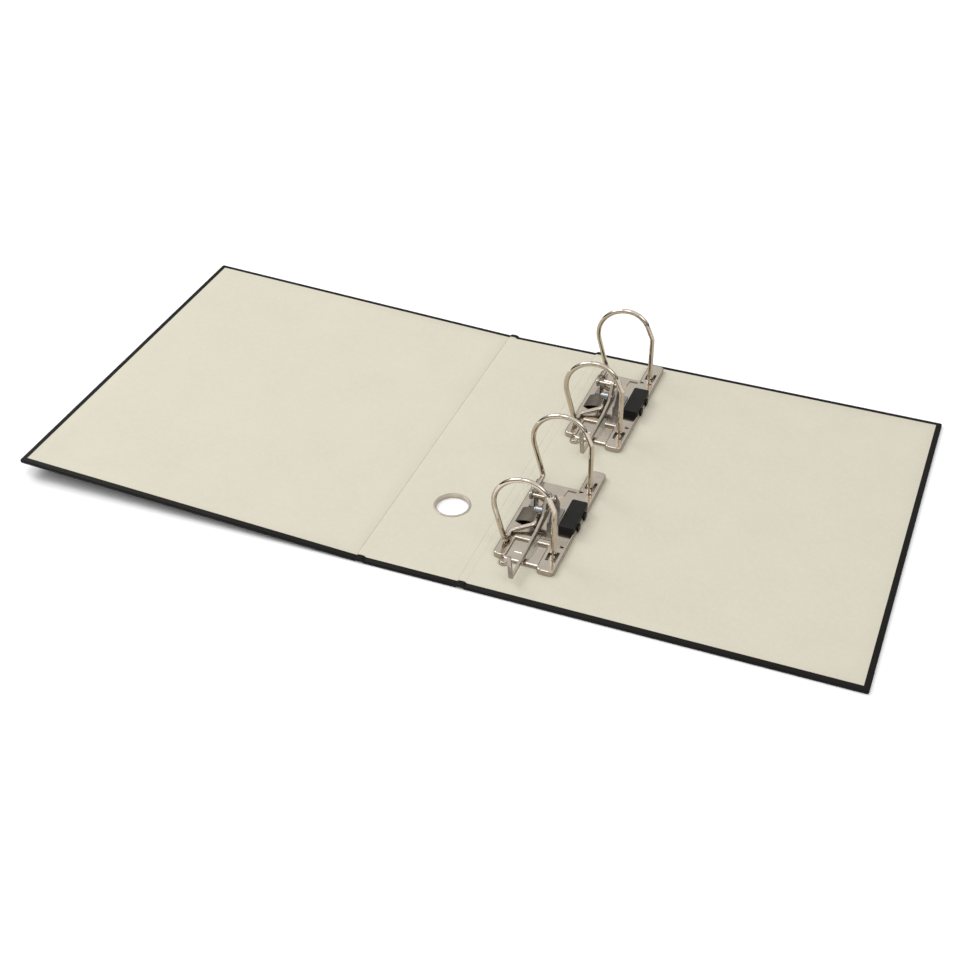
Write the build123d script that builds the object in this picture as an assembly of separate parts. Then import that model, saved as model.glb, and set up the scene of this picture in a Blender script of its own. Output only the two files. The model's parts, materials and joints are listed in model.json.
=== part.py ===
"""Lever arch file, lying open: two covers and a spine with two lever arch mechanisms.

The file is modelled in millimetres, +X towards the back cover's free edge, +Y towards the
top edge, +Z up. The origin is the centre of the bounding box at the surface it lies on.
Each mechanism is modelled about its own lower post, with Z = 0 on the lining.
"""
from build123d import *
from math import asin, atan2, cos, radians, sin, tan
import os

# --- overall sizes -----------------------------------------------------------
file_height = 310.0          # covers, along Y
cover_width = 278.5          # hinge crease to free edge
spine_width = 76.0           # crease to crease
front_lift = 2.5             # degrees the front cover stands proud of the table

# --- sheets ------------------------------------------------------------------
board_thickness = 2.2        # greyboard between the turned-in edges
covering_thickness = 0.3
lining_thickness = 0.2
turn_in_width = 15.0
lining_border = 4.2          # covering left bare round the lining
hinge_gap = 7.0              # between two boards
corner_radius = 1.5

# --- finger ring -------------------------------------------------------------
finger_hole_radius = 12.0
finger_tube_wall = 0.6
finger_flange_radius = 14.0
finger_flange_thickness = 0.5
finger_from_post = 30.5      # along Y, from the lower post of the lower mechanism

# --- mechanism layout --------------------------------------------------------
post_spacing = 80.0          # the standard distance between filing holes
first_post_from_edge = 49.0
mechanism_spacing = 152.4
post_from_crease = 50.5
wire_radius = 1.9

# --- base plate --------------------------------------------------------------
plate_sheet = 0.9
plate_left = -41.0
plate_right = 6.4
rail_inner = -6.9            # inner edge of the post rail
left_rail_inner = -31.0
plate_top = 4.0
web_near = -12.5
web_far = 75.5
rail_near = -18.5
rail_far = 102.0
near_web_top = 2.6
near_web_end = 14.0
ridge_start = 8.0
ridge_top = 4.7
field_drop = 0.8             # depth of the pressed field under the lever
slot_left = -19.9
slot_right = -14.6
slot_near = -9.0
slot_far = 21.0
claw_depth = 2.2
foot_radius = 3.75
foot_place = (-31.0, -15.5)
post_slot_width = 2.3        # slots punched beside each post
post_slot_overlap = 0.3      # how far a slot runs into the post's hole
post_slots = ((-1, -1.4, 7.2), (1, -3.5, 7.6))   # side, and ends along Y, outwards
post_hole_clearance = 0.02

# --- arch --------------------------------------------------------------------
arch_pivot_x = -36.0
arch_centre_x = -20.5
arch_top = 63.0
arch_left_radius = 23.8
arch_right_radius = 17.5
joint_angle = 34.0           # where arch and post meet, above the horizontal
post_lean = 23.4             # slanted top of the post, off vertical
post_kink_radius = 5.0
joint_gap = 0.15
elbow_radius = 2.5
crank_x = -22.0
crank_rise = 2.6             # crank above the arch wire's axis
crank_near = 21.0
crank_far = 57.5
crank_near_root = 12.5
crank_far_root = 61.5
crank_bend = 4.5
strap_sheet = 0.9
straps = ((3.2, 3.8), (66.0, 6.0))   # start and width along Y
running_clearance = 0.1

# --- lever -------------------------------------------------------------------
lever_pivot_y = 38.0
lever_pivot_z = 21.0
lever_sheet = 1.8
lever_x = -18.0
arm_height = 4.5
arm_tip_y = -34.0
arm_tip_z = 5.95
arm_tip_round = 1.25         # the arm narrows towards its end
arm_elbow = (14.0, 7.5)      # where the arm turns up to the hub, as (y, z)
arm_neck = (28.9, 10.2)
tab_top_x = -20.2            # the finger tab leans a little to the left
tab_top_z = 22.3
tab_top_round = 1.4
tab_foot_round = 1.0
tab_foot_width = 3.2
tab_sheet = 1.6
tab_slot = (3.0, 1.2)        # length and width
tab_slot_z = 14.6
hub_radius = 3.6
pin_radius = 1.5
pin_clearance = 0.05
pin_head_radius = 2.4
pin_head_thickness = 0.8
roller_y = 32.0
roller_radius = 3.0
roller_length = 5.4
roller_gap = 0.3
roller_lift = 0.1            # roller clear of the crank
axle_radius = 1.3

# --- lever ears --------------------------------------------------------------
ear_sheet = 1.2
left_ear_x = -30.0
right_ear_x = -13.2
ear_round = 3.6

# --- leaf spring -------------------------------------------------------------
leaf_sheet = 0.5
leaf_width = 16.0
leaf_near = 25.5
leaf_root_x = -37.4
leaf_bulge = 0.4             # crown above the tip
leaf_tip_x = -23.0
leaf_gap = 0.25              # leaf clear of the crank
leaf_toe = 2.2                # hooked under the plate
leaf_slot_clearance = 0.3

# --- paper pad ---------------------------------------------------------------
pad_left = -6.0
pad_right = 6.0
pad_near = 25.5
pad_far = 58.3
pad_height = 5.0
pad_tab_width = 5.0

# --- rivets ------------------------------------------------------------------
rivet_radius = 1.5
rivet_head_radius = 2.6
rivet_head_height = 1.0
rivet_tail_radius = 3.2
rivet_tail_height = 0.7
rivet_tail_inset = 0.05

# --- worked out --------------------------------------------------------------
covering_top = board_thickness + 2 * covering_thickness
lining_top = covering_top + lining_thickness
lift = radians(front_lift)
front_reach = cover_width * cos(lift) + lining_top * sin(lift)
back_crease = (spine_width + front_reach - cover_width) / 2
front_crease = back_crease - spine_width
post_x = back_crease + post_from_crease
mechanism_y = (
    first_post_from_edge - file_height / 2,
    first_post_from_edge - file_height / 2 + mechanism_spacing,
)
arch_pivot_z = plate_top + wire_radius + running_clearance
crank_z = arch_pivot_z + crank_rise
roller_z = crank_z + wire_radius + roller_lift + roller_radius
leaf_tip_z = crank_z - wire_radius - leaf_gap - leaf_sheet / 2
finger_x = (back_crease + front_crease) / 2
finger_y = mechanism_y[0] + finger_from_post

nodes = {}


# --- helpers -----------------------------------------------------------------
def block(x, y, z):
    """A box from three (low, high) pairs."""
    size = [high - low for low, high in (x, y, z)]
    middle = [(high + low) / 2 for low, high in (x, y, z)]
    return Pos(*middle) * Box(*size)


def disc(x, y, radius, low, high):
    """An upright cylinder."""
    return Pos(x, y, (low + high) / 2) * Cylinder(radius, high - low)


def rod(y, z, radius, low, high):
    """A cylinder along X."""
    return Pos((low + high) / 2, y, z) * Rot(0, 90, 0) * Cylinder(radius, high - low)


def plate_along_x(outline, x, thickness):
    """A flat YZ outline, made a plate centred on x."""
    return extrude(Plane.YZ.offset(x) * outline, thickness / 2, both=True)


def hull(circles):
    """A 2-D outline wrapped round circles given as (u, v, radius)."""
    return make_hull([Edge.make_circle(r, Plane((u, v, 0))) for u, v, r in circles])


def round_upright(shape, radius):
    return fillet(shape.edges().filter_by(Axis.Z), radius)


def rounded_path(points, radii):
    """A wire through points whose inner corners are rounded by radii."""
    points = [Vector(*p) for p in points]
    edges = []
    start = points[0]
    for before, corner, after, radius in zip(points, points[1:], points[2:], radii):
        into = (corner - before).normalized()
        out = (after - corner).normalized()
        turn = radians(into.get_angle(out))
        reach = radius * tan(turn / 2)
        centre_way = (out - into).normalized()
        first = corner - into * reach
        last = corner + out * reach
        middle = corner + centre_way * (radius / cos(turn / 2) - radius)
        if (first - start).length > 1e-4:
            edges.append(Edge.make_line(start, first))
        edges.append(Edge.make_three_point_arc(first, middle, last))
        start = last
    if (points[-1] - start).length > 1e-4:
        edges.append(Edge.make_line(start, points[-1]))
    return Wire(edges)


def wire_solid(path, radius):
    return sweep(Plane(origin=path @ 0, z_dir=path % 0) * Circle(radius), path=path)


# --- case --------------------------------------------------------------------
def panel(width, crease_sides):
    """Board, covering and lining of a panel from x = 0 to width.

    crease_sides holds "low", "high" or both: the sides that carry a hinge.
    """
    half = file_height / 2
    inset = {side: hinge_gap / 2 if side in crease_sides else covering_thickness
             for side in ("low", "high")}
    board_x = (inset["low"], width - inset["high"])
    board_y = (-half + covering_thickness, half - covering_thickness)
    rim = {side: hinge_gap / 2 if side in crease_sides else turn_in_width
           for side in ("low", "high")}
    window_x = (rim["low"], width - rim["high"])
    window_y = (-half + turn_in_width, half - turn_in_width)
    board = block(board_x, board_y, (covering_thickness, covering_thickness + board_thickness))
    board += block(window_x, window_y, (covering_thickness, covering_top))

    covering = block((0, width), (-half, half), (0, covering_top)) - board
    groove_depth = (-1, covering_top - covering_thickness)
    groove_width = hinge_gap / 2 - covering_thickness
    if "low" in crease_sides:
        covering -= block((-1, groove_width), (-half - 1, half + 1), groove_depth)
    if "high" in crease_sides:
        covering -= block((width - groove_width, width + 1), (-half - 1, half + 1), groove_depth)
    free_x = {"low": 0, "high": width}
    outer = [e for e in covering.edges().filter_by(Axis.Z)
             for side in ("low", "high")
             if side not in crease_sides
             and abs(e.center().X - free_x[side]) < 0.01
             and abs(abs(e.center().Y) - half) < 0.01]
    if outer:
        covering = fillet(outer, corner_radius)
        board = board & covering_shadow(width, half, crease_sides)

    lining_x = (
        0 if "low" in crease_sides else lining_border,
        width if "high" in crease_sides else width - lining_border,
    )
    lining_y = (-half + lining_border, half - lining_border)
    lining = block(lining_x, lining_y, (covering_top, lining_top))
    return {"board": board, "covering": covering, "lining": lining}


def covering_shadow(width, half, crease_sides):
    """The space inside a panel's rounded free corners, one covering in."""
    low = 0 if "low" in crease_sides else covering_thickness
    high = width if "high" in crease_sides else width - covering_thickness
    inside = block((low, high), (-half + covering_thickness, half - covering_thickness),
                   (0, covering_top))
    free_x = [x for x, side in ((low, "low"), (high, "high")) if side not in crease_sides]
    corners = [e for e in inside.edges().filter_by(Axis.Z)
               if any(abs(e.center().X - x) < 0.01 for x in free_x)]
    return fillet(corners, corner_radius - covering_thickness)


def finger_ring():
    """Two halves of the pull ring, about the hole's centre."""
    tube_radius = finger_hole_radius + finger_tube_wall
    flange_top = lining_top + finger_flange_thickness
    outer = disc(0, 0, tube_radius, 0, flange_top - finger_flange_thickness / 2)
    outer += disc(0, 0, finger_flange_radius, 0, finger_flange_thickness)
    outer -= disc(0, 0, finger_hole_radius, -1, flange_top + 1)
    inner = disc(0, 0, finger_flange_radius, lining_top, flange_top)
    rim = inner.edges().group_by(Axis.Z)[-1]
    inner = fillet(rim, finger_flange_thickness * 0.6)
    inner -= disc(0, 0, tube_radius, lining_top - 1, flange_top - finger_flange_thickness / 2)
    inner -= disc(0, 0, finger_hole_radius, lining_top - 1, flange_top + 1)
    return outer, inner


def cut_for_ring(pieces):
    """Open a spine's sheets for the pull ring."""
    tube_radius = finger_hole_radius + finger_tube_wall
    centre = (finger_x - front_crease, finger_y)
    hole = disc(*centre, tube_radius, -1, lining_top + 1)
    seat = disc(*centre, finger_flange_radius, -1, finger_flange_thickness)
    return {name: piece - hole - seat for name, piece in pieces.items()}


def case():
    """The three panels, hinged in a row, and the pull ring."""
    tilt = Pos(front_crease, 0, lining_top) * Rot(0, front_lift, 0) * Pos(0, 0, -lining_top)
    back = {name: Pos(back_crease, 0, 0) * piece
            for name, piece in panel(cover_width, ("low",)).items()}
    spine = {name: Pos(front_crease, 0, 0) * piece
             for name, piece in cut_for_ring(panel(spine_width, ("low", "high"))).items()}
    front = {name: tilt * Pos(-cover_width, 0, 0) * piece
             for name, piece in panel(cover_width, ("high",)).items()}
    fastening = Sketch() + [
        Pos(post_x, y) * outline for y in mechanism_y for outline in claw_outlines(0.1)]
    claw_cut = extrude(Pos(0, 0, lining_top - claw_depth - 0.1) * fastening, claw_depth + 1)
    back["board"] -= claw_cut
    back["lining"] -= claw_cut
    for y in mechanism_y:
        shank = disc(post_x + foot_place[0], y + foot_place[1], rivet_radius, -1, lining_top + 1)
        tail = disc(post_x + foot_place[0], y + foot_place[1], rivet_tail_radius,
                    -1, rivet_tail_inset + rivet_tail_height)
        for name in back:
            back[name] = back[name] - shank - tail
    for side, pieces in (("front", front), ("spine", spine), ("back", back)):
        for name, piece in pieces.items():
            nodes[f"{side}_{name}"] = piece
    outer, inner = finger_ring()
    nodes["finger_ring_outer"] = Pos(finger_x, finger_y, 0) * outer
    nodes["finger_ring_inner"] = Pos(finger_x, finger_y, 0) * inner


# --- base plate --------------------------------------------------------------
claw_places = ((3.2, 9.6), (2.4, 73.0), (-4.0, 73.4))
claw_side = 3.8


def claw_outlines(clearance):
    """Footprints of the claws that bite the board, in plan."""
    width = plate_sheet + 2 * clearance
    length = claw_side + 2 * clearance
    return [Pos(x - claw_side / 2, y) * Rectangle(width, length) for x, y in claw_places]


def plate_envelope(inset):
    """The pressed plate's outer form, drawn in by inset on every side but the open bottom."""
    bottom = -1.0 if inset else 0.0
    top = plate_top - inset
    rail = block((rail_inner + inset, plate_right - inset),
                 (rail_near + inset, rail_far - inset), (bottom, top))
    rail = fillet(rail.edges().filter_by(Axis.Z), 4.0 - inset)
    rail = fillet(rail.edges().group_by(Axis.Z)[-1], 1.2 - inset)
    left = block((plate_left + inset, left_rail_inner - inset),
                 (web_near + inset, web_far - inset), (bottom, top))
    left = fillet(left.edges().filter_by(Axis.Z), 4.0 - inset)
    left = fillet(left.edges().group_by(Axis.Z)[-1], 1.2 - inset)
    far_web = block((left_rail_inner - 4.5, rail_inner + 4.5),
                    (near_web_end - 0.5 + inset, web_far - inset), (bottom, top))
    near_web = block((left_rail_inner - 4.5, rail_inner + 4.5),
                     (web_near + inset, near_web_end + 1), (bottom, near_web_top - inset))
    near_edge = near_web.edges().filter_by(Axis.X).sort_by(Axis.Y)[:2].sort_by(Axis.Z)[-1]
    near_web = fillet(near_edge, 1.2 - inset)
    ridge = block((left_rail_inner - 1, rail_inner + 1),
                  (ridge_start + inset, near_web_end - inset), (bottom, ridge_top - inset))
    ridge_edges = ridge.edges().filter_by(Axis.X).group_by(Axis.Z)[-1]
    ridge = fillet(ridge_edges, 1.6 - inset)
    return rail + left + far_web + near_web + ridge


def pressed_field(spread):
    """The sunk field right of the lever, with its stepped far edge."""
    right = rail_inner - 0.4
    corners = [(right, near_web_end + 2), (right, web_far - 3), (-14, web_far - 3),
               (-15, 65), (-20.5, 60), (-20.5, near_web_end + 2)]
    field = make_face(Polyline(*corners, close=True))
    return offset(field, spread) if spread else field


def base_plate():
    outer = plate_envelope(0.0)
    inner = plate_envelope(plate_sheet)
    outer -= extrude(Pos(0, 0, plate_top - field_drop) * pressed_field(0), 2)
    inner -= extrude(Pos(0, 0, plate_top - field_drop - plate_sheet) * pressed_field(0.5), 2)
    panel_x = (-13.8, -7.6)
    panel_y = (-6.0, 7.5)
    outer -= block(panel_x, panel_y, (near_web_top - 0.5, near_web_top + 1))
    inner -= block((panel_x[0] - 0.5, panel_x[1] + 0.5), (panel_y[0] - 0.5, panel_y[1] + 0.5),
                   (near_web_top - 0.5 - plate_sheet, near_web_top))
    plate = outer - inner
    plate -= round_upright(block((slot_left, slot_right), (slot_near, slot_far), (-1, 8)), 1.5)
    leaf_slot_x = (leaf_root_x - leaf_sheet, leaf_root_x + leaf_sheet)
    leaf_slot_y = (leaf_near - leaf_slot_clearance, leaf_near + leaf_width + leaf_slot_clearance)
    plate -= block(leaf_slot_x, leaf_slot_y, (0.5, 8))
    for post_y in (0.0, post_spacing):
        plate -= disc(0, post_y, wire_radius + post_hole_clearance, -1, 8)
        outwards = 1 if post_y else -1
        for side, low, high in post_slots:
            near = side * (wire_radius - post_slot_overlap)
            slot_x = sorted((near, near + side * post_slot_width))
            slot_y = sorted((post_y + outwards * low, post_y + outwards * high))
            plate -= block(slot_x, slot_y, (-1, 8))
    for x, y in claw_places:
        hole = make_face(Polyline((x - claw_side / 2, y - claw_side / 2),
                                  (x - claw_side / 2, y + claw_side / 2),
                                  (x + claw_side / 2, y), close=True))
        plate -= extrude(hole, 8)
        claw = make_face(Polyline((y - claw_side / 2, plate_top - plate_sheet),
                                  (y + claw_side / 2, plate_top - plate_sheet),
                                  (y, -claw_depth), close=True))
        plate += plate_along_x(claw, x - claw_side / 2, plate_sheet)
    plate -= disc(-12.5, 50, 0.75, -1, 8)
    plate += foot_tab()
    for start, width in straps:
        plate += strap(start, width)
    return plate


def foot_tab():
    """The small round foot that takes the rivet."""
    x, y = foot_place
    tab = disc(x, y, foot_radius, 0, plate_sheet)
    tab += block((x - foot_radius, x + foot_radius), (y, web_near + 0.5), (0, plate_sheet))
    return tab - disc(x, y, rivet_radius, -1, 2)


def strap(start, width):
    """A strap of the plate, bridging the arch wire."""
    inner_radius = wire_radius + running_clearance
    outer_radius = inner_radius + strap_sheet
    middle = start + width / 2
    axis = Pos(arch_pivot_x, middle, arch_pivot_z) * Rot(90, 0, 0)
    body = axis * Cylinder(outer_radius, width)
    body += block((arch_pivot_x - outer_radius, arch_pivot_x + outer_radius),
                  (start, start + width), (plate_top - 0.4, arch_pivot_z))
    body -= axis * Cylinder(inner_radius, width + 2)
    body -= block((arch_pivot_x - inner_radius, arch_pivot_x + inner_radius),
                  (start - 1, start + width + 1), (plate_top, arch_pivot_z))
    return body & block((-60, 0), (start, start + width), (plate_top - 0.4, 20))


# --- wires -------------------------------------------------------------------
def arch_corners(y):
    """The corners that one arch bends round, from its free end to its foot."""
    dx = arch_centre_x - arch_pivot_x
    dz = arch_top - arch_left_radius - arch_pivot_z
    lean = asin(arch_left_radius / (dx ** 2 + dz ** 2) ** 0.5) - atan2(dx, dz)
    left_reach = arch_left_radius * tan((radians(90) + lean) / 2)
    meet = radians(joint_angle)
    right_reach = arch_right_radius * tan((radians(90) - meet) / 2)
    right_corner = arch_centre_x + right_reach
    joint = (right_corner + right_reach * sin(meet), y, arch_top - right_reach * cos(meet))
    return [joint, (right_corner, y, arch_top), (arch_centre_x - left_reach, y, arch_top),
            (arch_pivot_x, y, arch_pivot_z)]


def arch_wire():
    """Both arches and the crank between them, bent from one wire."""
    near = arch_corners(0.0)
    far = arch_corners(post_spacing)
    crank = [(arch_pivot_x, crank_near_root, arch_pivot_z), (crank_x, crank_near, crank_z),
             (crank_x, crank_far, crank_z), (arch_pivot_x, crank_far_root, arch_pivot_z)]
    arch_radii = [arch_right_radius, arch_left_radius, elbow_radius]
    radii = arch_radii + [crank_bend] * len(crank) + arch_radii[::-1]
    return wire_solid(rounded_path(near + crank + far[::-1], radii), wire_radius)


def fixed_post(y):
    """A post, from under the plate to where the arch meets it."""
    joint = Vector(*arch_corners(y)[0])
    meet = radians(joint_angle)
    lean = radians(post_lean)
    along = Vector(sin(meet), 0, -cos(meet))
    bend = joint + along * (arch_right_radius * tan((meet - lean) / 2))
    start = joint + along * joint_gap
    kink_z = bend.Z + bend.X / tan(lean)
    foot = (0, y, plate_top - plate_sheet - 1.0)
    path = rounded_path([start, bend, (0, y, kink_z), foot], [6.0, post_kink_radius])
    return wire_solid(path, wire_radius)


# --- lever -------------------------------------------------------------------
def lever():
    """The lever: a strip on edge, hubbed at the pivot, its end turned up as a finger tab."""
    half = arm_height / 2
    hub = (roller_y, roller_z, hub_radius - 0.8)
    neck = (*arm_neck, half)
    elbow = (*arm_elbow, half)
    outlines = [
        hull([(lever_pivot_y, lever_pivot_z, hub_radius), hub]),
        hull([hub, neck]),
        hull([neck, elbow]),
        hull([elbow, (arm_tip_y, arm_tip_z, arm_tip_round)]),
    ]
    shape = Part()
    for outline in outlines:
        shape += plate_along_x(outline, lever_x, lever_sheet)
    shape -= block((lever_x - 5, lever_x + 5), (arm_tip_y - 10, arm_tip_y), (-5, 20))
    shape += finger_tab(arm_tip_z - arm_tip_round)
    bores = rod(lever_pivot_y, lever_pivot_z, pin_radius + pin_clearance, lever_x - 5, lever_x + 5)
    bores += rod(roller_y, roller_z, axle_radius, lever_x - 5, lever_x + 5)
    return shape - bores


def finger_tab(low):
    """The end of the strip, turned across the arm and standing up, with a small slot."""
    right = lever_x + lever_sheet / 2
    foot_z = low + tab_foot_round
    outline = hull([
        (right - tab_foot_round, foot_z, tab_foot_round),
        (right - tab_foot_width + tab_foot_round, foot_z, tab_foot_round),
        (tab_top_x, tab_top_z, tab_top_round),
    ])
    outline -= Pos(slot_middle_x(), tab_slot_z) * Rot(0, 0, 90) * SlotOverall(*tab_slot)
    plane = Plane(origin=(0, arm_tip_y, 0), x_dir=(1, 0, 0), z_dir=(0, -1, 0))
    fold = disc(lever_x, arm_tip_y, lever_sheet / 2, low, low + 2 * arm_tip_round)
    return fold + extrude(plane * outline, tab_sheet / 2, both=True)


def slot_middle_x():
    """The tab's middle at the height of its slot."""
    low_x = lever_x + (lever_sheet - tab_foot_width) / 2
    return low_x + (tab_top_x - low_x) * (tab_slot_z - arm_tip_z) / (tab_top_z - arm_tip_z)


def lever_ear(x, side):
    """One ear that holds the lever's pin; side is the way its foot turns."""
    if x == left_ear_x:
        blade = hull([(lever_pivot_y, lever_pivot_z, ear_round), (44.5, 15.0, 0.8), (50.5, 15.0, 1.5)])
        blade += Pos(47.5, 9.2) * Rectangle(7.0, 10.0)
        foot_y = (44.0, 51.0)
        foot_top = plate_top
    else:
        blade = hull([(lever_pivot_y, lever_pivot_z, ear_round), (26.0, 9.0, 1.5), (48.5, 9.0, 1.5)])
        foot_top = plate_top - field_drop
        blade += Pos(37.25, (9.0 + foot_top) / 2) * Rectangle(25.5, 9.0 - foot_top)
        foot_y = (24.5, 50.0)
    blade = blade & Pos(38, foot_top + 20) * Rectangle(60, 40)
    ear = plate_along_x(blade, x, ear_sheet)
    reach = (x, x + side * 4.5)
    ear += block((min(reach), max(reach)), foot_y, (foot_top, foot_top + ear_sheet))
    return ear - rod(lever_pivot_y, lever_pivot_z, pin_radius, x - 2, x + 2)


def pivot_pin():
    """The lever's pin, headed outside both ears."""
    low = left_ear_x - ear_sheet / 2
    high = right_ear_x + ear_sheet / 2
    pin = rod(lever_pivot_y, lever_pivot_z, pin_radius, low, high)
    for start in (low - pin_head_thickness, high):
        pin += rod(lever_pivot_y, lever_pivot_z, pin_head_radius, start, start + pin_head_thickness)
    return pin


def roller_span():
    """Where the roller starts and ends, along X."""
    high = lever_x - lever_sheet / 2 - roller_gap
    return high - roller_length, high


def roller():
    low, high = roller_span()
    wheel = rod(roller_y, roller_z, roller_radius, low, high)
    wheel = fillet(wheel.edges(), 0.5)
    return wheel - rod(roller_y, roller_z, axle_radius + pin_clearance, low - 1, high + 1)


def roller_axle():
    low, _ = roller_span()
    start = low - roller_gap
    end = lever_x + lever_sheet / 2
    axle = rod(roller_y, roller_z, axle_radius, start, end)
    axle += rod(roller_y, roller_z, axle_radius + 0.7, start - 0.7, start)
    return axle + rod(roller_y, roller_z, axle_radius + 0.7, end, end + 0.5)


# --- small pieces ------------------------------------------------------------
def leaf_spring():
    """The leaf that lifts the crank, hooked through the plate."""
    rise = Line((leaf_root_x, plate_top - plate_sheet - 1.2), (leaf_root_x, plate_top + 0.3))
    crown = ((leaf_root_x + leaf_tip_x) / 2, leaf_tip_z + leaf_bulge)
    back = ThreePointArc(rise @ 1, crown, (leaf_tip_x, leaf_tip_z))
    toe = Line(rise @ 0, rise @ 0 + Vector(leaf_toe, 0, 0))
    outline = trace([toe, rise, back], leaf_sheet)
    strip = extrude(Plane.XZ * outline, -leaf_width)
    return Pos(0, leaf_near, 0) * strip


def paper_pad():
    """The moulded rest for the paper, snapped on to the post rail."""
    top = plate_top + pad_height
    body = block((pad_left, pad_right), (pad_near, pad_far), (plate_top, top))
    body = fillet(body.edges().filter_by(Axis.Z), 1.5)
    body = fillet(body.edges().group_by(Axis.Z)[-1], 0.8)
    under = block((pad_left + 1.6, pad_right - 1.6), (pad_near + 1.6, pad_far - 1.6),
                  (plate_top - 1, top - 1.6))
    body -= under
    middle = (pad_near + pad_far) / 2
    for y in (middle - 7, middle + 7):
        tab_y = (y - pad_tab_width / 2, y + pad_tab_width / 2)
        body += block((pad_right - 1.0, plate_right + 1.0), tab_y, (plate_top, plate_top + 1.6))
        body += block((plate_right, plate_right + 1.0), tab_y, (1.2, plate_top + 1.6))
    return body


def rivet():
    """A rivet through the foot, the lining, the board and the covering."""
    x, y = foot_place
    tail_low = rivet_tail_inset - lining_top
    shank = disc(x, y, rivet_radius, tail_low, plate_sheet)
    shank += disc(x, y, rivet_tail_radius, tail_low, tail_low + rivet_tail_height)
    head = disc(x, y, rivet_head_radius, plate_sheet, plate_sheet + rivet_head_height)
    return shank + fillet(head.edges().group_by(Axis.Z)[-1], rivet_head_height * 0.8)


def mechanism(name, y):
    """One lever arch mechanism, its lower post at y."""
    pieces = {
        "base_plate": base_plate(),
        "arch_wire": arch_wire(),
        "near_post": fixed_post(0.0),
        "far_post": fixed_post(post_spacing),
        "lever": lever(),
        "left_ear": lever_ear(left_ear_x, -1),
        "right_ear": lever_ear(right_ear_x, 1),
        "pivot_pin": pivot_pin(),
        "roller": roller(),
        "roller_axle": roller_axle(),
        "leaf_spring": leaf_spring(),
        "paper_pad": paper_pad(),
        "rivet": rivet(),
    }
    for piece, shape in pieces.items():
        nodes[f"{name}_{piece}"] = Pos(post_x, y, lining_top) * shape


case()
for mechanism_name, start_y in zip(("lower", "upper"), mechanism_y):
    mechanism(mechanism_name, start_y)

os.makedirs("parts", exist_ok=True)
for node, shape in nodes.items():
    export_step(shape, f"parts/{node}.step")

print(f"back crease x {back_crease:.3f}, front crease x {front_crease:.3f}, post x {post_x:.3f}")
print("mechanisms at y", mechanism_y, "finger hole at", finger_x, finger_y)
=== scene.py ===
# %% [markdown]
# # A lever arch file, lying open
# The case is greyboard wrapped in black covering and lined with cream paper. Two lever arch
# mechanisms stand on the back cover. The CAD model fixes every size, hinge and pivot, and this
# script dresses it: it shapes the soft edges, creases and pressings, and makes the finishes.

import json
from math import asin, cos, degrees, pi, radians, sin

import bpy
from mathutils import Matrix, Vector


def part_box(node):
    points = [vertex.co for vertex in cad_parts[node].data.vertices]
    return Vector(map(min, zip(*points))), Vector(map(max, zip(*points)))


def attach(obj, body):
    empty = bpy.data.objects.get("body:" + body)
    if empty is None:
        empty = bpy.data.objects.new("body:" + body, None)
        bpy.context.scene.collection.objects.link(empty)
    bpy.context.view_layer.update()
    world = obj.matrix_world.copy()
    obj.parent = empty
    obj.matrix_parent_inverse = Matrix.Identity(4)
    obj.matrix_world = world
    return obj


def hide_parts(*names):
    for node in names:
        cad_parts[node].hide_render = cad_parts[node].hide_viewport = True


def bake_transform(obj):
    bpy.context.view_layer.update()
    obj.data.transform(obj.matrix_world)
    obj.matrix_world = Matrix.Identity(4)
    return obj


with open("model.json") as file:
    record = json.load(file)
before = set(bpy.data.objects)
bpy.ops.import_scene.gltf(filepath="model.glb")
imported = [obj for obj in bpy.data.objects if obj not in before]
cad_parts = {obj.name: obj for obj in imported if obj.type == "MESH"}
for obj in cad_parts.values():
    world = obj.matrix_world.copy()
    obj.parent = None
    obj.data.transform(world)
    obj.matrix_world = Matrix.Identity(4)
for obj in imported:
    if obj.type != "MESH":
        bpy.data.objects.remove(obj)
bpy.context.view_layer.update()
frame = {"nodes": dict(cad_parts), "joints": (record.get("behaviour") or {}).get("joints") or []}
nodes = frame["nodes"]
bpy.ops.object.select_all(action="DESELECT")
MM = 0.001
SAME = 1e-6     # two places nearer than this, in metres, are the same place

# %% [markdown]
# Every place comes from the frame. The two hinge joints give both creases and the level of the
# lining, and the boxes of a few nodes give the widths and borders of the sheets.

# %% Read the sizes of the case
joint_at = {joint["name"]: Vector(joint["pos_m"]) for joint in frame["joints"]}
back_crease = joint_at["spine_hinge"].x
front_crease = joint_at["front_hinge"].x
lining_top = joint_at["spine_hinge"].z
covering_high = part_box("back_covering")[1]
lining_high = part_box("back_lining")[1]
half_height = covering_high.y
cover_width = covering_high.x - back_crease
covering_top = covering_high.z
border = covering_high.y - lining_high.y
half_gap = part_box("back_board")[0].x - back_crease
front_lift = asin((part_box("front_lining")[1].z - lining_top) / (cover_width - border))
print(f"cover {cover_width / MM:.1f} mm wide, lifted {degrees(front_lift):.2f} degrees")

# %% [markdown]
# ## Small tools
# An edit-mode operator acts on what is selected, so faces and edges are picked in code by their
# place. These helpers add a block, pick parts of it, round its edges and hand it to the frame.

# %% Modelling helpers
def active(piece):
    """Make a piece the only selected and active object."""
    bpy.ops.object.select_all(action="DESELECT")
    piece.select_set(True)
    bpy.context.view_layer.objects.active = piece
    return piece


def settle(piece):
    """Move a piece's place into its mesh, so that its object sits at the origin."""
    active(piece)
    bpy.ops.object.transform_apply(location=True, rotation=True, scale=True)
    return piece


def add_block(name, low, high):
    """A block between two corners."""
    low, high = Vector(low), Vector(high)
    bpy.ops.mesh.primitive_cube_add(size=1, location=(low + high) / 2)
    piece = bpy.context.object
    piece.name = name
    piece.scale = high - low
    return settle(piece)


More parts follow.
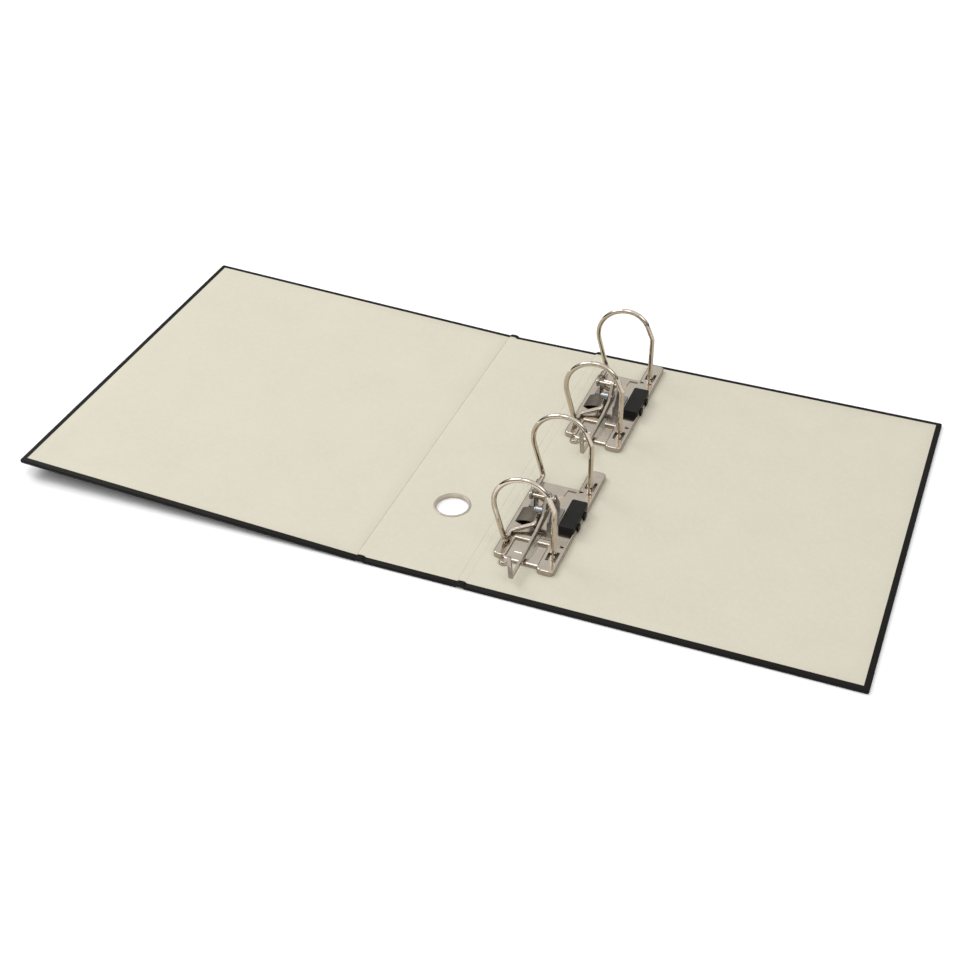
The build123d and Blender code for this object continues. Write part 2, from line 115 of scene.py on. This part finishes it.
def pick_edges(piece, wanted):
    """Select the edges whose two ends satisfy wanted."""
    active(piece)
    bpy.ops.object.mode_set(mode="EDIT")
    bpy.ops.mesh.select_mode(type="EDGE")
    bpy.ops.mesh.select_all(action="DESELECT")
    bpy.ops.object.mode_set(mode="OBJECT")
    points = piece.data.vertices
    for edge in piece.data.edges:
        a, b = (points[i].co for i in edge.vertices)
        edge.select = wanted(a, b)
    bpy.ops.object.mode_set(mode="EDIT")


def pick_faces(piece, wanted):
    """Select the faces whose centre and normal satisfy wanted."""
    active(piece)
    bpy.ops.object.mode_set(mode="EDIT")
    bpy.ops.mesh.select_mode(type="FACE")
    bpy.ops.mesh.select_all(action="DESELECT")
    bpy.ops.object.mode_set(mode="OBJECT")
    for face in piece.data.polygons:
        face.select = wanted(face.center, face.normal)
    bpy.ops.object.mode_set(mode="EDIT")


def is_level(a, b):
    """Whether an edge between two places lies flat."""
    return abs(a.z - b.z) < SAME


def round_edges(piece, wanted, width, segments=3):
    """Bevel the wanted edges in edit mode."""
    pick_edges(piece, wanted)
    bpy.ops.mesh.bevel(offset=width, segments=segments, affect="EDGES")
    bpy.ops.object.mode_set(mode="OBJECT")
    return piece


def apply_modifier(piece, kind, **settings):
    """Add a modifier, set it and apply it."""
    active(piece)
    modifier = piece.modifiers.new(kind.title(), kind)
    for key, value in settings.items():
        setattr(modifier, key, value)
    bpy.ops.object.modifier_apply(modifier=modifier.name)
    return piece


def outward(piece):
    """Merge doubles and turn all faces outwards."""
    active(piece)
    bpy.ops.object.mode_set(mode="EDIT")
    bpy.ops.mesh.select_all(action="SELECT")
    bpy.ops.mesh.remove_doubles(threshold=0.005 * MM)
    bpy.ops.mesh.normals_make_consistent(inside=False)
    bpy.ops.object.mode_set(mode="OBJECT")
    return piece


def finish_piece(piece, material, body=None, smooth=35):
    """Smooth a piece, give it its finish and, if named, its body."""
    active(piece)
    bpy.ops.object.shade_smooth_by_angle(angle=radians(smooth))
    piece.data.materials.clear()
    piece.data.materials.append(material)
    if body:
        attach(piece, body)
    return piece


# %% [markdown]
# ## Finishes
# Each finish is a Principled shader. Noise in Object coordinates, measured in metres, drives the
# small changes of colour, roughness and height that a real surface has.

# %% Material helpers
class Finish:
    """A material under construction, with short ways to add and join nodes."""

    def __init__(self, name, **sockets):
        self.material = bpy.data.materials.new(name)
        self.material.use_nodes = True
        self.tree = self.material.node_tree
        self.shader = self.tree.nodes["Principled BSDF"]
        for socket, value in sockets.items():
            self.shader.inputs[socket.replace("_", " ")].default_value = value
        self.place = self.tree.nodes.new("ShaderNodeTexCoord").outputs["Object"]

    def node(self, kind, **settings):
        node = self.tree.nodes.new("ShaderNode" + kind)
        for key, value in settings.items():
            if key in node.inputs:
                node.inputs[key].default_value = value
            else:
                setattr(node, key, value)
        return node

    def join(self, out, into):
        self.tree.links.new(out, into)

    def noise(self, size, detail=4.0, stretch=(1, 1, 1), roughness=0.5):
        """Noise whose largest features measure size, in metres."""
        mapping = self.node("Mapping")
        mapping.inputs["Scale"].default_value = stretch
        self.join(self.place, mapping.inputs["Vector"])
        noise = self.node("TexNoise", Scale=1 / size, Detail=detail, Roughness=roughness)
        self.join(mapping.outputs["Vector"], noise.inputs["Vector"])
        return noise.outputs["Fac"]

    def spread(self, value, low, high):
        """Map a 0 to 1 value on to low to high."""
        node = self.node("MapRange")
        node.inputs["From Min"].default_value = 0.3
        node.inputs["From Max"].default_value = 0.7
        node.inputs["To Min"].default_value = low
        node.inputs["To Max"].default_value = high
        self.join(value, node.inputs["Value"])
        return node.outputs["Result"]

    def tint(self, value, dark, light):
        """Colour between dark and light."""
        ramp = self.node("ValToRGB")
        ramp.color_ramp.elements[0].position = 0.3
        ramp.color_ramp.elements[1].position = 0.7
        ramp.color_ramp.elements[0].color = (*dark, 1)
        ramp.color_ramp.elements[1].color = (*light, 1)
        self.join(value, ramp.inputs["Fac"])
        return ramp.outputs["Color"]

    def mix(self, factor, first, second):
        node = self.node("Mix", data_type="RGBA")
        self.join(factor, node.inputs["Factor"])
        self.join(first, node.inputs["A"])
        self.join(second, node.inputs["B"])
        return node.outputs["Result"]

    def colour(self, out):
        self.join(out, self.shader.inputs["Base Color"])

    def rough(self, out):
        self.join(out, self.shader.inputs["Roughness"])

    def relief(self, *layers):
        """Stack height layers, each (value, depth in metres, strength)."""
        last = None
        for value, depth, strength in layers:
            bump = self.node("Bump", Distance=depth, Strength=strength)
            self.join(value, bump.inputs["Height"])
            if last:
                self.join(last, bump.inputs["Normal"])
            last = bump.outputs["Normal"]
        self.join(last, self.shader.inputs["Normal"])


# %% [markdown]
# The covering is a black plastic-coated paper with a very fine grain and a dull sheen. The
# lining is uncoated cream-grey paper: fine fibres, a faint cloudiness, no gloss.

# %% Paper and covering finishes
def covering_finish():
    finish = Finish("black_covering", Roughness=0.5, Specular_IOR_Level=0.12)
    cloud = finish.noise(0.06, 5)
    finish.colour(finish.tint(cloud, (0.0048, 0.0043, 0.0036), (0.0078, 0.0071, 0.0060)))
    grain = finish.noise(0.0007, 3)
    finish.rough(finish.spread(grain, 0.42, 0.6))
    finish.relief((grain, 0.04 * MM, 0.6), (finish.noise(0.012, 3), 0.05 * MM, 0.4))
    return finish.material


def lining_finish():
    finish = Finish("cream_lining", Roughness=0.85, Specular_IOR_Level=0.2)
    cloud = finish.noise(0.045, 6, roughness=0.6)
    base = finish.tint(cloud, (0.523, 0.497, 0.407), (0.558, 0.524, 0.430))
    fibres = finish.noise(0.0011, 4, stretch=(1, 0.35, 1), roughness=0.7)
    flecked = finish.tint(fibres, (0.543, 0.514, 0.420), (0.604, 0.570, 0.468))
    share = finish.spread(finish.noise(0.004, 2), 0.25, 0.6)
    finish.colour(finish.mix(share, base, flecked))
    finish.rough(finish.spread(cloud, 0.78, 0.92))
    finish.relief((fibres, 0.02 * MM, 0.35), (finish.noise(0.03, 3), 0.10 * MM, 0.3))
    return finish.material


black_covering = covering_finish()
cream_lining = lining_finish()

# %% [markdown]
# The wires and the pressed plate are nickel plated: bright, slightly warm, with a faint haze and
# hair-fine draw marks. The lever is the same nickel but rougher, and its colour is darkened a
# little as painted shade, so that it shines less than the plate. The leaf spring is darker brushed
# spring steel, the ears are plain steel, and the roller has a bluish zinc coat. The paper pad is
# satin black moulded plastic.

# %% Metal and plastic finishes
def metal_finish(name, dark, light, rough, haze=0.05,
                 mark_size=0.0006, stretch=(1, 1, 1), depth=0.012):
    """Metal whose roughness runs haze either way; depth, in mm, is that of its draw marks."""
    finish = Finish(name, Metallic=1.0, Roughness=rough)
    patches = finish.noise(0.009, 5)
    finish.colour(finish.tint(patches, dark, light))
    marks = finish.noise(mark_size, 5, stretch=stretch, roughness=0.65)
    finish.rough(finish.spread(marks, rough - haze, rough + haze))
    finish.relief((marks, depth * MM, 0.3), (finish.noise(0.006, 2), 0.02 * MM, 0.15))
    return finish.material


nickel_plate = metal_finish(
    "nickel_plate", (0.44, 0.39, 0.33), (0.485, 0.435, 0.37), 0.17, 0.03, depth=0.003)
# the lever's nickel: rougher than the plate, with its colour darkened as painted shade
lever_nickel_painted_shade = metal_finish(
    "lever_nickel_painted_shade", (0.40, 0.355, 0.295), (0.45, 0.40, 0.335), 0.3, 0.04, depth=0.003)
nickel_wire = metal_finish(
    "nickel_wire", (0.56, 0.49, 0.405), (0.62, 0.55, 0.46), 0.07, 0.02, depth=0.002)
bracket_steel = metal_finish(
    "bracket_steel", (0.27, 0.255, 0.235), (0.33, 0.31, 0.29), 0.34, 0.05, depth=0.005)
spring_steel = metal_finish(
    "spring_steel", (0.15, 0.128, 0.102), (0.21, 0.182, 0.148), 0.38, 0.08,
    mark_size=0.0008, stretch=(0.06, 1.6, 1))
ring_metal = metal_finish(
    "ring_metal", (0.44, 0.385, 0.315), (0.50, 0.445, 0.375), 0.33, 0.05, depth=0.004)
zinc_roller = metal_finish(
    "zinc_roller", (0.29, 0.32, 0.335), (0.37, 0.40, 0.41), 0.3, 0.06)


def pad_finish():
    finish = Finish("pad_plastic", Roughness=0.45, Specular_IOR_Level=0.2)
    grain = finish.noise(0.0005, 3)
    patches = finish.noise(0.01, 4)
    finish.colour(finish.tint(patches, (0.0052, 0.0048, 0.0042), (0.0085, 0.0079, 0.0069)))
    finish.rough(finish.spread(grain, 0.38, 0.55))
    finish.relief((grain, 0.03 * MM, 0.5))
    return finish.material


pad_plastic = pad_finish()
greyboard = Finish("greyboard", Roughness=0.95)
greyboard.colour(greyboard.tint(greyboard.noise(0.002, 6), (0.24, 0.22, 0.19), (0.34, 0.32, 0.29)))
print("finishes made:", len(bpy.data.materials))

# %% [markdown]
# CAD nodes whose shape is right stay, and each takes the finish of its kind.

# %% Dress the CAD nodes
finish_of = {
    "board": greyboard.material, "covering": black_covering, "lining": cream_lining,
    "ring_outer": ring_metal, "ring_inner": ring_metal,
    "base_plate": nickel_plate, "arch_wire": nickel_wire, "post": nickel_wire,
    "lever": lever_nickel_painted_shade, "ear": bracket_steel, "pivot_pin": nickel_plate,
    "roller": zinc_roller, "roller_axle": nickel_plate, "leaf_spring": spring_steel,
    "paper_pad": pad_plastic, "rivet": nickel_plate,
}
for name, node in nodes.items():
    ending = max((key for key in finish_of if name.endswith(key)), key=len)
    node.data.materials.clear()
    node.data.materials.append(finish_of[ending])

# %% [markdown]
# Punched and moulded parts have slightly rounded edges, which catch the light as fine bright
# lines. A bevel modifier, limited to the sharp edges, gives each node that edge.

# %% Soften the edges of the pressed parts
edge_of = {"lever": 0.22, "ear": 0.15, "leaf_spring": 0.1, "paper_pad": 0.35}   # radius, mm
sharpest_kept = radians(50)     # edges that turn by less than this stay as they are
for name, node in nodes.items():
    for ending, width in edge_of.items():
        if name.endswith(ending):
            bevel = node.modifiers.new("soft_edges", "BEVEL")
            bevel.limit_method = "ANGLE"
            bevel.angle_limit = sharpest_kept
            bevel.width = width * MM
            bevel.segments = 3

# %% [markdown]
# ## The case
# A cover is a stiff board with its covering pulled tight over the edges, so its edges are softly
# rounded and its corners have a small radius. A block with two rounds of bevels gives that:
# first the upright corners, then the rims above and below.

# %% Covers and spine
corner = 1.5 * MM
rim = 0.8 * MM
body_of_panel = {"front": "front_cover", "spine": "spine", "back": "back_cover"}
# each panel's board, from its low x to its high x, and whether an end is a free edge
panels = {
    "back": (back_crease + half_gap, back_crease + cover_width, False, True),
    "spine": (front_crease + half_gap, back_crease - half_gap, False, False),
    "front": (front_crease - cover_width, front_crease - half_gap, True, False),
}
flat_front = Matrix.Translation(Vector((front_crease, 0, lining_top)))
lift_matrix = flat_front @ Matrix.Rotation(front_lift, 4, "Y") @ flat_front.inverted()


def lift_front(piece, panel):
    """Raise a piece of the front cover about its crease, as it lies at rest."""
    if panel == "front":
        piece.data.transform(lift_matrix)
        piece.data.update()
    return piece


def add_panel(panel):
    x_low, x_high, low_free, high_free = panels[panel]
    piece = add_block(panel + "_wrap",
                      (x_low, -half_height, 0), (x_high, half_height, covering_top))
    free = [x for x, is_free in ((x_low, low_free), (x_high, high_free)) if is_free]
    upright = lambda a, b: not is_level(a, b) and any(abs(a.x - x) < SAME for x in free)
    round_edges(piece, upright, corner, 4)
    round_edges(piece, is_level, rim, 4)
    lift_front(piece, panel)
    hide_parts(panel + "_covering")
    return finish_piece(piece, black_covering, body_of_panel[panel])


for panel in ("front", "back"):
    wrap = add_panel(panel)
    print(wrap.name, len(wrap.data.polygons), "faces")

# %% [markdown]
# ## The lining
# The lining is a thin sheet pasted over the turned-in covering. Where it passes from the
# turn-in to the bare board it drops a little, which leaves a faint frame round each cover.

# %% Lining sheets
turn_in = 15 * MM           # how far the covering runs in over a board
turn_in_slope = 1.2 * MM    # width of the lining's slope down from it
turn_in_step = 0.12 * MM    # and how far down it goes
sheet_sink = 0.05 * MM      # how far a sheet runs down into what it lies on
lining_round = 0.12 * MM


def add_lining(panel):
    x_low, x_high, low_free, high_free = panels[panel]
    x_low += border if low_free else 0
    x_high -= border if high_free else 0
    half = half_height - border
    piece = add_block(panel + "_lining_sheet",
                      (x_low, -half, covering_top - sheet_sink), (x_high, half, lining_top))
    pick_faces(piece, lambda centre, normal: normal.z > 0.9)
    bpy.ops.mesh.inset(thickness=turn_in - border - turn_in_slope / 2)
    bpy.ops.mesh.inset(thickness=turn_in_slope)
    bpy.ops.transform.translate(value=(0, 0, -turn_in_step))
    bpy.ops.object.mode_set(mode="OBJECT")
    outline = lambda a, b: (is_level(a, b) and a.z > lining_top - 10 * SAME
                            and abs(abs(a.y) - half) < SAME and abs(abs(b.y) - half) < SAME)
    round_edges(piece, outline, lining_round, 2)
    lift_front(piece, panel)
    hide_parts(panel + "_lining", panel + "_board")
    return finish_piece(piece, cream_lining, body_of_panel[panel], smooth=50)


for panel in ("front", "back"):
    sheet = add_lining(panel)
    print(sheet.name, len(sheet.data.polygons), "faces")

# %% [markdown]
# ## The spine
# The spine has a hole for a finger, punched through board and sheets at once. Here the same drum
# is cut out of wrap and lining with a boolean, so both cuts line up. The metal rim then covers
# both cut edges.

# %% Spine wrap and lining with the finger hole
ring_low, ring_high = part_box("finger_ring_outer")
ring_centre = (ring_low + ring_high) / 2
ring_outer_radius = (ring_high.x - ring_low.x) / 2
hole_radius = 12 * MM       # inside of the ring
cut_radius = 12.5 * MM      # hole in the spine, hidden by the ring
round_steps = 96
drum_length = 20 * MM


def cut_drum(piece):
    """Cut a round hole right through, at the finger ring."""
    bpy.ops.mesh.primitive_cylinder_add(vertices=round_steps, radius=cut_radius, depth=drum_length,
                                        location=(ring_centre.x, ring_centre.y, 0))
    drum = settle(bpy.context.object)
    apply_modifier(piece, "BOOLEAN", operation="DIFFERENCE", object=drum, solver="EXACT")
    bpy.data.objects.remove(drum)
    return piece


spine_wrap = add_block("spine_wrap", (panels["spine"][0], -half_height, 0),
                       (panels["spine"][1], half_height, covering_top))
round_edges(spine_wrap, is_level, rim, 4)
cut_drum(spine_wrap)
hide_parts("spine_covering")
finish_piece(spine_wrap, black_covering, "spine")

half_lining = half_height - border
spine_lining = add_block("spine_lining_sheet",
                         (panels["spine"][0], -half_lining, covering_top - sheet_sink),
                         (panels["spine"][1], half_lining, lining_top))
cut_drum(spine_lining)
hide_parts("spine_lining", "spine_board")
finish_piece(spine_lining, cream_lining, "spine")
print("finger hole at", [round(v / MM, 1) for v in ring_centre])

# %% [markdown]
# ## The hinge creases
# Between two boards the covering and the lining are pasted to each other and make a soft strip
# that carries the fold. The lining lies flat and shows a fine line where a board ends. At both
# ends, where the covering is doubled over, the strip stands up as a small hump.

# %% Shape of a hinge strip
end_hump = 1.25 * MM
crease_line_depth = 0.22 * MM
crease_line_width = 0.75 * MM
hump_start = half_lining - 2.5 * MM     # where along the strip a hump begins
hump_full = half_lining + 0.7 * MM      # and where it has its full height


def ease(value):
    """A smooth step from 0 to 1."""
    value = max(0, min(1, value))
    return value * value * (3 - 2 * value)


def hump_at(across, along):
    """Height of the hump at a place across the gap, from -1 to 1, and a distance along it."""
    along_share = ease((along - hump_start) / (hump_full - hump_start))
    return end_hump * (1 - min(1, abs(across)) ** 4) * along_share


def crease_line_at(offset, sides):
    """Depth of the fine line beside a board; offset runs across the strip from its middle."""
    from_line = abs(abs(offset) - half_gap + crease_line_width / 2)
    on_side = ("low" if offset < 0 else "high") in sides
    return crease_line_depth * ease(1 - from_line / crease_line_width) if on_side else 0


# %% [markdown]
# A strip is a thin block, subdivided across and cut by a few planes near its ends, so that its
# points can be lifted into the hump and lowered into the lines.

# %% Hinge strips
strip_faces = 28
hump_cuts = 7
tuck = 0.4 * MM             # how far a strip runs in over the boards
crease_groove = 0.3 * MM    # how far the outside of a crease lies above the table
wrap_inset = 0.1 * MM       # how far a wrap strip ends short of the boards' edge
wrap_drop = 0.03 * MM       # how far its top lies below the boards' wrap
lining_rise = 0.01 * MM     # how far a lining strip lies above the sheets


def add_strip(name, crease, half_length, low, high, line_sides=()):
    half_width = half_gap + tuck
    piece = add_block(name, (crease - half_width, -half_length, low),
                      (crease + half_width, half_length, high))
    pick_edges(piece, lambda a, b: abs(a.y - b.y) < SAME and is_level(a, b))
    bpy.ops.mesh.subdivide(number_cuts=strip_faces - 1)
    for end in (-1, 1):
        for step in range(hump_cuts):
            along = hump_start + (hump_full - hump_start) * step / (hump_cuts - 1)
            bpy.ops.mesh.select_all(action="SELECT")
            bpy.ops.mesh.bisect(plane_co=(0, end * along, 0), plane_no=(0, 1, 0))
    bpy.ops.object.mode_set(mode="OBJECT")
    for point in piece.data.vertices:
        offset = point.co.x - crease
        point.co.z += hump_at(offset / half_gap, abs(point.co.y))
        point.co.z -= crease_line_at(offset, line_sides)
    return piece


for crease, label, bodies, line_sides in (
    (front_crease, "front", ("front_cover", "spine"), ("low",)),
    (back_crease, "back", ("spine", "back_cover"), ("low", "high")),
):
    wrap_strip = add_strip(label + "_hinge_wrap", crease, half_height - wrap_inset,
                           crease_groove, covering_top - wrap_drop)
    lining_strip = add_strip(label + "_hinge_lining", crease, half_lining,
                             covering_top - wrap_drop, lining_top + lining_rise, line_sides)
    finish_piece(wrap_strip, black_covering, smooth=60)
    finish_piece(lining_strip, cream_lining, smooth=60)
    for strip in (wrap_strip, lining_strip):
        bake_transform(strip)
        print(strip.name, len(strip.data.polygons), "faces")

# %% [markdown]
# ## The finger ring
# The ring is pressed from thin sheet: a rolled lip above, a tube through the spine and a flange
# below. It is round about one axis, so half of its section is drawn once and spun.

# %% Finger ring
def spin_section(name, section, centre):
    """Spin a closed (radius, height) section about an upright axis."""
    mesh = bpy.data.meshes.new(name)
    corners = [(centre.x + radius, centre.y, height) for radius, height in section]
    edges = [(i, (i + 1) % len(corners)) for i in range(len(corners))]
    mesh.from_pydata(corners, edges, [])
    piece = bpy.data.objects.new(name, mesh)
    bpy.context.scene.collection.objects.link(piece)
    active(piece)
    bpy.ops.object.mode_set(mode="EDIT")
    bpy.ops.mesh.select_all(action="SELECT")
    bpy.ops.mesh.spin(steps=round_steps, angle=2 * pi,
                      center=(centre.x, centre.y, 0), axis=(0, 0, 1))
    bpy.ops.object.mode_set(mode="OBJECT")
    return outward(piece)


def arc_points(radius, height, size, start, end, count=7):
    """Points of an arc in a (radius, height) section."""
    turns = [radians(start + (end - start) * i / (count - 1)) for i in range(count)]
    return [(radius + size * cos(turn), height + size * sin(turn)) for turn in turns]


lip_radius = 0.5 * MM
lip_edge = hole_radius + 1.75 * MM
lip_base = lining_top + 0.02 * MM
flange_inside = 0.5 * MM        # top of the flange at the tube
flange_outside = 0.4 * MM       # and at its rim
ring_section = (
    arc_points(lip_edge - lip_radius, lip_base, lip_radius, 0, 90)
    + arc_points(hole_radius + lip_radius, lip_base, lip_radius, 90, 180)
    + [(hole_radius, flange_inside), (hole_radius + 0.2 * MM, 0.1 * MM)]
    + [(ring_outer_radius, 0.02 * MM), (ring_outer_radius, flange_outside)]
    + [(cut_radius, flange_inside), (cut_radius, lining_top - 0.1 * MM)]
)
finger_ring = spin_section("finger_rim", ring_section, ring_centre)
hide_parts("finger_ring_outer", "finger_ring_inner")
finish_piece(finger_ring, ring_metal, "spine")

# %% [markdown]
# ## Rolled edges of the base plates
# The near edges of each base plate are rolled down to the lining in a wide curve, which shows as
# a bright band. A roll is an upright block at the edge; the far top edge stays, and the near top
# edge is bevelled with a radius nearly as large as the roll is high.

# %% Rolled near edges
roll_reach = 1.6 * MM       # how far a roll stands out from the CAD plate's edge
roll_sink = 1.6 * MM        # how far it runs in under the plate's top
roll_curve = 0.92           # share of its height that its curve takes
lever_pivot_from_post = Vector((-18, 38, 21)) * MM


def add_roll(name, x_low, x_high, edge_y, top):
    """A rolled strip along X, from the lining up to a plate's top."""
    piece = add_block(name, (x_low, edge_y - roll_reach, lining_top),
                      (x_high, edge_y + roll_sink, top))
    near_top = lambda a, b: a.y < edge_y and b.y < edge_y and min(a.z, b.z) > top - SAME
    round_edges(piece, near_top, (top - lining_top) * roll_curve, 10)
    return finish_piece(piece, nickel_plate, "back_cover", smooth=30)


# edge, low x, high x and height, in mm, about the near post's foot
rolls = {"web": (-12.5, -31.5, -6.5, 2.62), "ridge": (-4.6, -27.0, -21.6, 3.0)}
for mechanism in ("lower", "upper"):
    foot = joint_at[mechanism + "_lever_lift"] - lever_pivot_from_post
    for label, (edge, x_low, x_high, height) in rolls.items():
        add_roll(f"{mechanism}_{label}_roll", foot.x + x_low * MM, foot.x + x_high * MM,
                 foot.y + edge * MM, foot.z + height * MM)
    print(mechanism, "post foot at", [round(v / MM, 2) for v in foot])

# %% [markdown]
# ## Collars on the posts
# Where an arch meets its post the real wire shows a fine ring, the crimped edge that guides the
# two ends together. It sits on the post's sloping top. The end face of the post's mesh gives its
# place and direction, and a short cylinder with rounded rims is turned on to it.

# %% Crimped collars
collar_length = 0.9 * MM
collar_proud = 0.13 * MM    # how far a collar stands out from the wire
collar_round = 0.9          # share of that which its rims' rounding takes
collar_steps = 40
end_slope = 0.55            # a post's end face points up at least this much


def end_face(node):
    """Centre and normal of the sloping end face of a post, from the faces that share a normal."""
    groups = {}
    for face in node.data.polygons:
        if face.normal.z > end_slope:
            groups.setdefault(tuple(round(v, 3) for v in face.normal), []).append(face)
    normal, faces = max(groups.items(), key=lambda item: sum(face.area for face in item[1]))
    points = [node.data.vertices[i].co for face in faces for i in face.vertices]
    low = Vector(min(point[axis] for point in points) for axis in range(3))
    high = Vector(max(point[axis] for point in points) for axis in range(3))
    return node.matrix_world @ ((low + high) / 2), Vector(normal).normalized()


def add_collar(post_name):
    post = nodes[post_name]
    centre, normal = end_face(post)
    low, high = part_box(post_name)
    radius = (high.y - low.y) / 2 + collar_proud
    bpy.ops.mesh.primitive_cylinder_add(vertices=collar_steps, radius=radius,
                                        depth=collar_length, location=(0, 0, -collar_length / 2))
    piece = settle(bpy.context.object)
    piece.name = post_name + "_collar"
    round_edges(piece, is_level, collar_proud * collar_round, 3)
    turn = normal.to_track_quat("Z", "Y").to_matrix().to_4x4()
    piece.data.transform(Matrix.Translation(centre) @ turn)
    return finish_piece(piece, bracket_steel, "back_cover", smooth=30)


for post_name in [name for name in nodes if name.endswith("_post")]:
    collar = add_collar(post_name)
    print(collar.name, "top at", round(max(v.co.z for v in collar.data.vertices) / MM, 1))

# %% [markdown]
# ## Camera, floor and light
# The camera looks down on the file from its lower right, with a mildly long lens. The floor is
# plain and pale. Three large soft lights and a surround that is bright above leave only faint
# contact shadows.

# %% Camera
aim = Vector((15.9, -60.9, 20.0)) * MM
view_azimuth = radians(21.97)
view_elevation = radians(37.78)
view_distance = 1116.4 * MM
view_roll = radians(-0.6)

camera_data = bpy.data.cameras.new("camera")
camera_data.sensor_width = 36
camera_data.lens = 57.77
camera = bpy.data.objects.new("camera", camera_data)
bpy.context.scene.collection.objects.link(camera)
towards = Vector((-sin(view_azimuth) * cos(view_elevation),
                  cos(view_azimuth) * cos(view_elevation), -sin(view_elevation)))
camera.location = aim - towards * view_distance
look = towards.to_track_quat("-Z", "Y").to_matrix().to_4x4()
camera.matrix_world = (Matrix.Translation(camera.location) @ look
                       @ Matrix.Rotation(view_roll, 4, "Z"))
bpy.context.scene.camera = camera
print("camera at", [round(v, 3) for v in camera.location])

# %% Floor and light
bpy.ops.mesh.primitive_plane_add(size=8, location=(0, 0, -0.02 * MM))
floor = bpy.context.object
floor.name = "floor"
floor_finish = Finish("floor_paper", Roughness=0.9, Specular_IOR_Level=0.1,
                      Base_Color=(0.93, 0.93, 0.93, 1))
floor.data.materials.append(floor_finish.material)


def add_area(name, place, size, watts, aim_at=(0.05, 0, 0)):
    data = bpy.data.lights.new(name, "AREA")
    data.shape = "RECTANGLE"
    data.size, data.size_y = size
    data.energy = watts
    lamp = bpy.data.objects.new(name, data)
    bpy.context.scene.collection.objects.link(lamp)
    lamp.location = place
    lamp.rotation_euler = (Vector(aim_at) - Vector(place)).to_track_quat("-Z", "Y").to_euler()
    return lamp


add_area("key", (-1.3, 0.25, 1.4), (0.9, 0.9), 13)
add_area("top", (-0.30, -0.30, 1.5), (0.55, 0.45), 3.5)
add_area("fill", (1.3, -0.6, 1.2), (0.9, 0.7), 4)

# %% The surround
world = bpy.data.worlds.new("studio")
world.use_nodes = True
sky = world.node_tree
direction = sky.nodes.new("ShaderNodeTexCoord")
height_of = sky.nodes.new("ShaderNodeSeparateXYZ")
bands = sky.nodes.new("ShaderNodeValToRGB")
sky.links.new(direction.outputs["Generated"], height_of.inputs["Vector"])
sky.links.new(height_of.outputs["Z"], bands.inputs["Fac"])
sky.links.new(bands.outputs["Color"], sky.nodes["Background"].inputs["Color"])
bands.color_ramp.elements[0].position = 0.16
bands.color_ramp.elements[0].color = (0.03, 0.027, 0.024, 1)
bands.color_ramp.elements[1].position = 0.52
bands.color_ramp.elements[1].color = (1, 1, 1, 1)
sky.nodes["Background"].inputs["Strength"].default_value = 1.0
bpy.context.scene.world = world
bpy.context.scene.view_settings.view_transform = "Standard"
